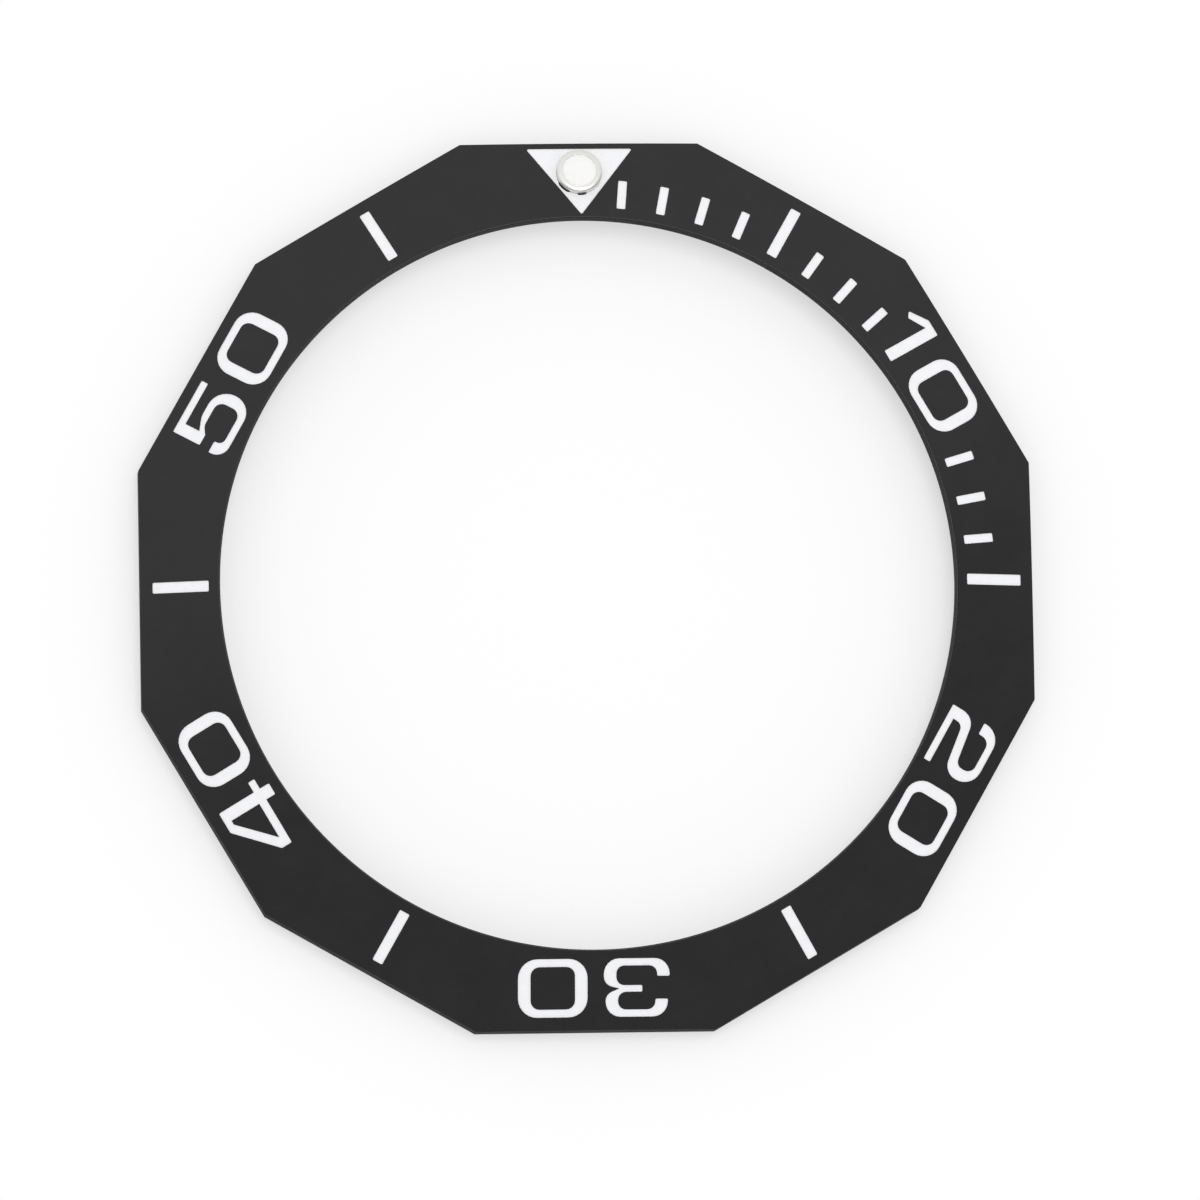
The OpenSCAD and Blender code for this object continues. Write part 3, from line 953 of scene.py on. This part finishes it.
@dataclass
class InsertRing:
    """The ceramic ring with its flats, lip, foot and engraved pockets.

    A face is a wall if its normal leans up or down by less than wall_lean. Edges and faces are
    told apart with a margin. What is cut away reaches past the ring by overrun, and the copies of
    the fillings that cut the pockets are stretched upwards by cutter_rise.
    """

    across_flats: float = 38.6
    flat_count: int = 12
    band_w: float = 3.4
    face_slope: float = 14.0
    outer_wall_h: float = 1.2
    bore_wall_h: float = 0.85
    foot_w: float = 2.5
    foot_z: float = 0.1
    bore_chamfer: float = 0.05
    outline_round: float = 0.06
    outline_steps: int = 3
    bore_round: float = 0.02
    bore_steps: int = 2
    pocket_depth: float = 0.2
    lacquer_recess: float = 0.02
    steps: int = 360
    overrun: float = 1.0
    cutter_rise: float = 0.5
    wall_lean: float = 0.3
    margin: float = 0.01

    @property
    def apothem(self) -> float:
        """Distance of the flats from the axis."""
        return self.across_flats / 2

    @property
    def bore_r(self) -> float:
        """Radius of the bore."""
        return self.apothem - self.band_w

    @property
    def foot_r(self) -> float:
        """Radius of the foot's inner wall."""
        return self.apothem - self.foot_w

    @property
    def slope(self) -> float:
        """Slope of the dial side in radians."""
        return math.radians(self.face_slope)

    def face_z(self, r: float) -> float:
        """Returns the height of the dial side at a radius."""
        return self.foot_z + self.outer_wall_h + (self.apothem - r) * math.tan(self.slope)

    def on_top(self, point: Vector) -> bool:
        """Returns whether a corner of a filling is at its top, and not on the pocket's floor."""
        middle = -0.5 * (self.lacquer_recess + self.pocket_depth)
        return point.z - self.face_z(radius_of(point)) > middle

    def section(self) -> Section:
        """Draws the ring's section: lip, foot, dial side and bore chamfer.

        Returns:
            Radius and height of each corner.
        """
        outer = self.apothem / math.cos(math.pi / self.flat_count) + self.overrun
        chamfer_r = self.bore_r + self.bore_chamfer
        return [
            (self.bore_r, self.face_z(self.bore_r) - self.bore_wall_h),
            (self.foot_r, self.face_z(self.foot_r) - self.bore_wall_h),
            (self.foot_r, self.foot_z),
            (outer, self.foot_z),
            (outer, self.face_z(outer)),
            (chamfer_r, self.face_z(chamfer_r)),
            (self.bore_r, self.face_z(chamfer_r) - self.bore_chamfer),
        ]

    def cut_flats(self, bm: Mesh) -> None:
        """Cuts the round blank to its flats.

        Args:
            bm: The blank.
        """
        for i in range(self.flat_count):
            angle = math.tau * i / self.flat_count
            out = Vector((math.sin(angle), math.cos(angle), 0.0))
            everything = [*bm.verts, *bm.edges, *bm.faces]
            flat = bmesh.ops.bisect_plane(bm, geom=everything, dist=ON_PLANE, clear_outer=True,
                                          plane_co=out * self.apothem, plane_no=out)
            rim = [g for g in flat["geom_cut"] if isinstance(g, bmesh.types.BMEdge)]
            bmesh.ops.contextual_create(bm, geom=rim)
        face_out(bm)

    def zone(self, face: bmesh.types.BMFace) -> Zone:
        """Returns the zone that a face of the blank belongs to."""
        if abs(face.normal.z) < self.wall_lean:
            return Zone.WALL
        return Zone.DIAL if face.normal.z > 0 else Zone.UNDERSIDE

    def on_flat(self, face: bmesh.types.BMFace) -> bool:
        """Returns whether a face lies on one of the flats."""
        outside = radius_of(face.calc_center_median()) > self.apothem - self.margin
        return outside and self.zone(face) is Zone.WALL

    def is_outline(self, edge: bmesh.types.BMEdge) -> bool:
        """Returns whether an edge bounds one of the flats."""
        turns = edge.calc_face_angle(0.0) > EDGE_TURN
        return turns and any(self.on_flat(face) for face in edge.link_faces)

    def is_bore_edge(self, edge: bmesh.types.BMEdge) -> bool:
        """Returns whether an edge runs round the bore or the foot's inside and stands out."""
        level = abs(edge.verts[0].co.z - edge.verts[1].co.z) < self.margin
        inner = max(radius_of(vert.co) for vert in edge.verts) < self.foot_r + self.margin
        return level and inner and edge.is_convex and edge.calc_face_angle(0.0) > EDGE_TURN

    def blank(self) -> Mesh:
        """Makes the ring before it is engraved.

        Returns:
            The ring, with its edges rounded and its zones marked.
        """
        bm = lathe(self.section(), self.steps, closed=True)
        self.cut_flats(bm)
        outline = [edge for edge in bm.edges if self.is_outline(edge)]
        bevel(bm, outline, self.outline_round, self.outline_steps)
        bore = [edge for edge in bm.edges if self.is_bore_edge(edge)]
        bevel(bm, bore, self.bore_round, self.bore_steps)
        face_out(bm)
        for face in bm.faces:
            face.material_index = self.zone(face)
        return bm

    def cutter(self, node: str, pearl: "Pearl") -> Mesh:
        """Makes the solid that engraves a mark.

        Args:
            node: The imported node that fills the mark.
            pearl: The pearl, whose hole through the filling is closed.

        Returns:
            The filling, raised past the dial side.
        """
        bm = merged_copy(node)
        pearl.plug(bm)
        for vert in bm.verts:
            if self.on_top(vert.co):
                vert.co.z += self.cutter_rise
        face_out(bm)
        return bm

    def build(self, marks: Iterable[str], pearl: "Pearl") -> bpy.types.Object:
        """Makes the ring, cuts its pockets and the pearl's seat, and finishes it.

        Args:
            marks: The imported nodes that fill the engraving.
            pearl: The pearl, which gives its seat.

        Returns:
            The finished ring.
        """
        tools = [*(self.cutter(mark, pearl) for mark in marks), pearl.seat_cutter()]
        for tool in tools:
            for face in tool.faces:
                face.material_index = Zone.POCKET
        bm = cut(self.blank(), tools, RING_FINISHES)
        return place_piece("ring_ceramic", bm, RING_FINISHES, "insert_ring")


@dataclass
class Lacquer:
    """The lacquer fillings of the engraving, each dished a little inside a narrow rim.

    A face belongs to a filling's top if its normal rises by more than top_rise.
    """

    rim_w: float = 0.036
    dish: float = 0.012
    top_rise: float = 0.5
    finish: Finish = LacquerFinish("lacquer_white")

    @staticmethod
    def nodes() -> list[str]:
        """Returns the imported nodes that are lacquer."""
        parts = frame["record"]["subparts"]
        return [p["node"] for p in parts if p["material_slot"] == Slot.LACQUER.value]

    def build(self, ring: InsertRing, pearl: "Pearl") -> list[bpy.types.Object]:
        """Makes every filling.

        Args:
            ring: The ring that they are in.
            pearl: The pearl, which one of them surrounds.

        Returns:
            The finished fillings.
        """
        return [self.filling(node, ring, pearl) for node in self.nodes()]

    def filling(self, node: str, ring: InsertRing, pearl: "Pearl") -> bpy.types.Object:
        """Makes one filling, whose top sinks a little from its rim.

        Args:
            node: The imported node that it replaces.
            ring: The ring that it is in.
            pearl: The pearl, which the triangle's filling surrounds.

        Returns:
            The finished filling.
        """
        bm = merged_copy(node)
        if pearl.plug(bm):
            bm = cut(bm, [pearl.hole_cutter()])
        tops = [face for face in bm.faces if face.normal.z > self.top_rise
                and all(ring.on_top(vert.co) for vert in face.verts)]
        bmesh.ops.inset_region(bm, faces=tops, thickness=self.rim_w, depth=-self.dish,
                               use_boundary=True, use_even_offset=True)
        return place_piece(f"lacquer_{node}", bm, [self.finish], node)


@dataclass
class Pearl:
    """The luminous pearl in the triangle.

    The lacquer stands back from the cup by open_gap in each of the open arcs, which are given by
    the bearing of their middle and half their width, both in degrees. The gap is fully open over
    open_share of an arc. Elsewhere it is closed_gap.
    """

    ring: InsertRing
    triangle_w: float = 4.62
    base_margin: float = 0.24
    point_margin: float = 0.16
    shift: float = -0.04
    lift: float = 0.035
    cup_d: float = 1.96
    cup_floor: float = 0.2
    proud: float = 0.29
    window_d: float = 1.5
    rim_land: float = 0.05
    rim_drop: float = 0.07
    rim_steps: int = 14
    edge_round: float = 0.012
    edge_steps: int = 4
    stem_d: float = 1.0
    stem_l: float = 0.8
    stem_chamfer: float = 0.06
    seat_depth: float = 0.26
    clearance: float = 0.02
    seat_reach: float = 0.06
    shrink: float = 0.010
    shrink_spread: float = 3.0
    lens_edge: float = 0.05
    lens_crown: float = 0.03
    crown_steps: int = 12
    contact: float = 0.002
    closed_gap: float = 0.006
    open_gap: float = 0.065
    open_arcs: tuple[Span, ...] = ((225.5, 24.0), (174.5, 14.5))
    open_share: float = 0.5
    gap_steps: int = 288
    steps: int = 144

    @property
    def radius(self) -> float:
        """Distance of the pearl from the ring's axis, near the triangle's inner circle."""
        height = self.ring.band_w - self.base_margin - self.point_margin
        side = math.hypot(self.triangle_w / 2, height)
        inner_circle_r = self.triangle_w * height / (self.triangle_w + 2 * side)
        return self.ring.apothem - self.base_margin - inner_circle_r + self.lift

    @property
    def centre(self) -> Vector:
        """The point where the pearl's axis meets the dial side."""
        return Vector((self.shift, self.radius, self.ring.face_z(self.radius)))

    @property
    def placing(self) -> Matrix:
        """Turns and moves a mesh from the pearl's own frame to its place."""
        return Matrix.Translation(self.centre) @ Matrix.Rotation(-self.ring.slope, 4, "X")

    @property
    def cup_r(self) -> float:
        """Radius of the cup's head."""
        return self.cup_d / 2

    @property
    def window_r(self) -> float:
        """Radius of the opening in the cup's rim."""
        return self.window_d / 2

    @property
    def window_z(self) -> float:
        """Height of the luminous compound's top in the pearl's frame."""
        return self.proud - self.lens_edge

    @property
    def floor_z(self) -> float:
        """Height of the cup's floor in the pearl's frame."""
        return self.cup_floor - self.seat_depth

    def plug(self, bm: Mesh) -> bool:
        """Closes the hole that the pearl's seat leaves in a filling.

        Args:
            bm: The filling.

        Returns:
            Whether the filling has that hole.
        """
        back = self.placing.inverted()
        reach = self.cup_r + self.seat_reach
        wall = [face for face in bm.faces
                if all(radius_of(back @ vert.co) < reach for vert in face.verts)]
        if wall:
            bmesh.ops.delete(bm, geom=wall, context="FACES")
            bmesh.ops.holes_fill(bm, edges=[e for e in bm.edges if e.is_boundary], sides=0)
            face_out(bm)
        return bool(wall)

    def hole_cutter(self) -> Mesh:
        """Makes the solid that cuts the lacquer back from the cup.

        Returns:
            The solid, as wide as the cup and the gap round it.
        """
        bm = bmesh.new()
        bmesh.ops.create_circle(bm, cap_ends=True, segments=self.gap_steps, radius=1.0)
        for vert in bm.verts:
            bearing = math.degrees(math.atan2(vert.co.x, vert.co.y)) % 360
            vert.co *= self.cup_r + self.lacquer_gap(bearing)
            vert.co.z = -self.seat_depth
        thicken(bm, self.seat_depth + self.ring.overrun)
        bm.transform(self.placing)
        return bm

    def lacquer_gap(self, bearing: float) -> float:
        """Works out the gap between the cup and the lacquer.

        Args:
            bearing: Direction from the pearl's axis, in degrees clockwise from twelve o'clock.

        Returns:
            The gap, which opens and closes smoothly.
        """
        depths = [1 - abs(bearing - middle) / half for middle, half in self.open_arcs]
        share = min(1.0, max(0.0, *depths) / (1.0 - self.open_share))
        ease = share * share * (3.0 - 2.0 * share)
        return self.closed_gap + ease * (self.open_gap - self.closed_gap)

    def seat_cutter(self) -> Mesh:
        """Makes the solid that cuts the pearl's seat and the hole for its stem.

        Returns:
            The solid, with the pearl's clearance round it.
        """
        head_r, hole_r = self.cup_r + self.clearance, self.stem_d / 2 + self.clearance
        below, above = -self.ring.face_z(self.ring.bore_r), self.ring.overrun
        profile = [(0, below), (hole_r, below), (hole_r, -self.seat_depth),
                   (head_r, -self.seat_depth), (head_r, above), (0, above)]
        bm = lathe(profile, self.steps, closed=False)
        bm.transform(self.placing)
        return bm

    def place(self, name: str, profile: Section, finish: Finish,
              node: str) -> bpy.types.Object:
        """Turns one of the pearl's pieces and sets it in its place.

        Args:
            name: Name of the piece.
            profile: Its section from the axis out and back, in the pearl's frame.
            finish: Its finish.
            node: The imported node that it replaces.

        Returns:
            The finished piece.
        """
        bm = lathe(profile, self.steps, closed=False)
        bm.transform(self.placing)
        return place_piece(name, bm, [finish], node)

    def build(self) -> list[bpy.types.Object]:
        """Makes the cup, the luminous compound and the lens, and returns them."""
        return [self.cup(), self.lume(), self.lens()]

    def cup(self) -> bpy.types.Object:
        """Makes the steel cup with its rounded rim and chamfered stem.

        Returns:
            The finished cup.
        """
        stem_r, edge = self.stem_d / 2, self.edge_round
        rim_r = self.window_r + self.rim_land
        seat_z, end_z = -self.seat_depth, -self.seat_depth - self.stem_l
        profile = [
            (0, end_z),
            (stem_r - self.stem_chamfer, end_z),
            (stem_r, end_z + self.stem_chamfer),
            (stem_r, seat_z),
            (self.cup_r - edge, seat_z),
            (self.cup_r, seat_z + edge),
            *rounding((rim_r, self.proud - self.rim_drop), self.cup_r - rim_r, 0, 90,
                      self.rim_steps, self.rim_drop),
            *rounding((self.window_r + edge, self.proud - edge), edge, 90, 180,
                      self.edge_steps),
            (self.window_r, self.floor_z),
            (0, self.floor_z),
        ]
        finish = SteelFinish("steel_polished", tuple(self.centre), -self.ring.slope)
        return self.place("pearl_cup_steel", profile, finish, "pearl_cup")

    def lume(self) -> bpy.types.Object:
        """Makes the luminous compound, whose top edge shrank a little from the cup.

        Returns:
            The finished compound.
        """
        top, shrink, spread = self.window_z, self.shrink, self.shrink_spread
        profile = [
            (0, self.floor_z),
            (self.window_r, self.floor_z),
            (self.window_r, top - shrink),
            (self.window_r - shrink, top - shrink / spread),
            (self.window_r - spread * shrink, top),
            (0, top),
        ]
        finish = LumeFinish("lume_compound")
        return self.place("pearl_lume_compound", profile, finish, "pearl_lume")

    def lens(self) -> bpy.types.Object:
        """Makes the domed lens, cast in the cup and on the compound with no air between.

        Returns:
            The finished lens.
        """
        lens_r, base_z = self.window_r + self.contact, self.window_z - self.contact
        top, crown = self.proud + self.lens_crown, self.lens_crown + self.edge_round
        crown_r = (lens_r ** 2 + crown ** 2) / (2 * crown)
        half = math.degrees(math.asin(lens_r / crown_r))
        dome = rounding((0, top - crown_r), crown_r, 90 - half, 90, self.crown_steps)
        profile = [(0, base_z), (lens_r, base_z), *dome[:-1], (0, top)]
        finish = LensFinish("lens_clear")
        return self.place("pearl_lens_clear", profile, finish, "pearl_lens")


@dataclass
class BondingFilm:
    """The adhesive film under the ring's foot, which keeps a margin from the foot's edges."""

    ring: InsertRing
    thickness: float = 0.1
    margin: float = 0.15
    corner_r: float = 0.4
    corner_steps: int = 4
    edge_round: float = 0.02
    edge_steps: int = 2
    hole_steps: int = 240

    def build(self) -> bpy.types.Object:
        """Makes the film from its outline and its hole, and finishes it.

        Returns:
            The finished film.
        """
        count = self.ring.flat_count
        outer_r = (self.ring.apothem - self.margin) / math.cos(math.pi / count)
        bm = bmesh.new()
        corners = bmesh.ops.create_circle(bm, cap_ends=False, segments=count, radius=outer_r,
                                          matrix=Matrix.Rotation(math.pi / count, 4, "Z"))["verts"]
        bevel(bm, corners, self.corner_r, self.corner_steps, "VERTICES")
        bmesh.ops.create_circle(bm, cap_ends=False, segments=self.hole_steps,
                                radius=self.ring.foot_r + self.margin)
        bmesh.ops.bridge_loops(bm, edges=list(bm.edges))
        thicken(bm, self.thickness)
        rims = [edge for edge in bm.edges if edge.calc_face_angle(0.0) > EDGE_TURN]
        bevel(bm, rims, self.edge_round, self.edge_steps)
        finish = FilmFinish("film_amber")
        return place_piece("film_adhesive", bm, [finish], "bonding_film")


# The studio


@dataclass(frozen=True)
class Lamp:
    """A square soft lamp that points at the object. Angles in degrees, lengths in metres.

    Its share is the part of full light that it gives a level white surface.
    """

    name: str
    azimuth: float
    elevation: float
    distance: float
    size: float
    share: float

    def build(self) -> bpy.types.Object:
        """Makes the lamp.

        Returns:
            The lamp.
        """
        turn, rise = math.radians(self.azimuth), math.radians(self.elevation)
        out = Vector((math.cos(turn) * math.cos(rise), math.sin(turn) * math.cos(rise),
                      math.sin(rise)))
        data = bpy.data.lights.new(self.name, "AREA")
        data.shape, data.size = "SQUARE", self.size
        data.energy = self.share * (math.pi * self.distance) ** 2 / math.sin(rise)
        lamp = add_object(self.name, data)
        lamp.location = out * self.distance
        lamp.rotation_mode = "QUATERNION"
        lamp.rotation_quaternion = out.to_track_quat("Z", "Y")
        return lamp


@dataclass(frozen=True)
class Camera:
    """The photograph's camera. Angles in degrees, lengths in millimetres."""

    tilt: float = 8.9327
    toward: float = 239.9837
    roll: float = 0.8421
    distance: float = 506.02
    aim_z: float = 2.182
    lens: float = 352.4957
    sensor: float = 36.0
    frame_px: float = 1200.0
    axis_px: tuple[float, float] = (588.714, 581.401)
    near: float = 10.0
    far: float = 10000.0

    def build(self) -> bpy.types.Object:
        """Makes the camera and makes it the scene's own.

        Returns:
            The camera.
        """
        data = bpy.data.cameras.new("camera")
        data.lens, data.sensor_width = self.lens, self.sensor
        middle = (self.frame_px - 1) / 2
        data.shift_x = (middle - self.axis_px[0]) / self.frame_px
        data.shift_y = (self.axis_px[1] - middle) / self.frame_px
        data.clip_start, data.clip_end = self.near * MM, self.far * MM
        camera = add_object("camera", data)
        tilt, toward = math.radians(self.tilt), math.radians(self.toward)
        hinge = Vector((-math.sin(toward), math.cos(toward), 0.0))
        lean = Matrix.Rotation(tilt, 4, hinge)
        unroll = Matrix.Rotation(-math.radians(self.roll), 4, "Z")
        stand_off = Matrix.Translation((0, 0, self.distance * MM))
        aim = Matrix.Translation((0, 0, self.aim_z * MM))
        camera.matrix_world = aim @ unroll @ lean @ stand_off
        bpy.context.scene.camera = camera
        return camera


@dataclass(frozen=True)
class Studio:
    """Floor, sky, lamps and camera. Lengths in metres.

    Where it is mirrored, the sky is dark at one end of sky_range and bright at the other, measured
    along sky_heading.
    """

    floor_size: float = 6.0
    sky_light: float = 0.82
    sky_seen_dark: float = 0.62
    sky_seen_bright: float = 1.0
    sky_colour: Colour = (1.0, 1.0, 1.0)
    sky_heading: tuple[float, float, float] = (-0.26, 0.966, 0.0)
    sky_range: Span = (-0.12, 0.34)
    lamps: tuple[Lamp, ...] = (
        Lamp("top_lamp", azimuth=62, elevation=80, distance=0.9, size=0.34, share=0.24),
    )

    def build(self) -> None:
        """Makes the floor, the sky, the lamps and the camera."""
        bm = bmesh.new()
        bmesh.ops.create_grid(bm, x_segments=1, y_segments=1, size=self.floor_size / 2)
        floor = loose_object("floor", bm, [FloorFinish("floor_white")])
        self.sky()
        for lamp in self.lamps:
            lamp.build()
        Camera().build()
        bpy.context.scene.view_settings.view_transform = "Standard"

    def sky(self) -> None:
        """Makes a plain sky that is seen as white and mirrored a little darker to one side."""
        world = bpy.data.worlds.new("sky")
        bpy.context.scene.world = world
        world.use_nodes = True
        world.node_tree.nodes.clear()
        w = Wiring(world.node_tree)
        heading = w.node("ShaderNodeTexCoord").outputs["Generated"]
        lean = w.node("ShaderNodeVectorMath", {0: heading, 1: self.sky_heading},
                      operation="DOT_PRODUCT").outputs["Value"]
        soft = w.spread(w.threshold(lean, *self.sky_range), self.sky_seen_dark,
                        self.sky_seen_bright)
        mirrored = w.rays(Ray.GLOSSY, Ray.TRANSMISSION)
        change = w.math("MULTIPLY", mirrored, w.math("SUBTRACT", soft, self.sky_light))
        light = w.math("ADD", change, self.sky_light)
        strength = w.highest(w.rays(Ray.CAMERA), light)
        shader = w.node("ShaderNodeBackground", {"Color": self.sky_colour, "Strength": strength})
        w.node("ShaderNodeOutputWorld", {"Surface": shader.outputs[0]})


def main() -> None:
    """Builds the pieces and the studio in order."""
    logging.basicConfig(level=logging.INFO, format="%(message)s")
    ring = InsertRing()
    pearl = Pearl(ring)
    lacquer = Lacquer()
    ring.build(lacquer.nodes(), pearl)
    lacquer.build(ring, pearl)
    pearl.build()
    BondingFilm(ring).build()
    Studio().build()


if __name__ == "__main__":
    main()
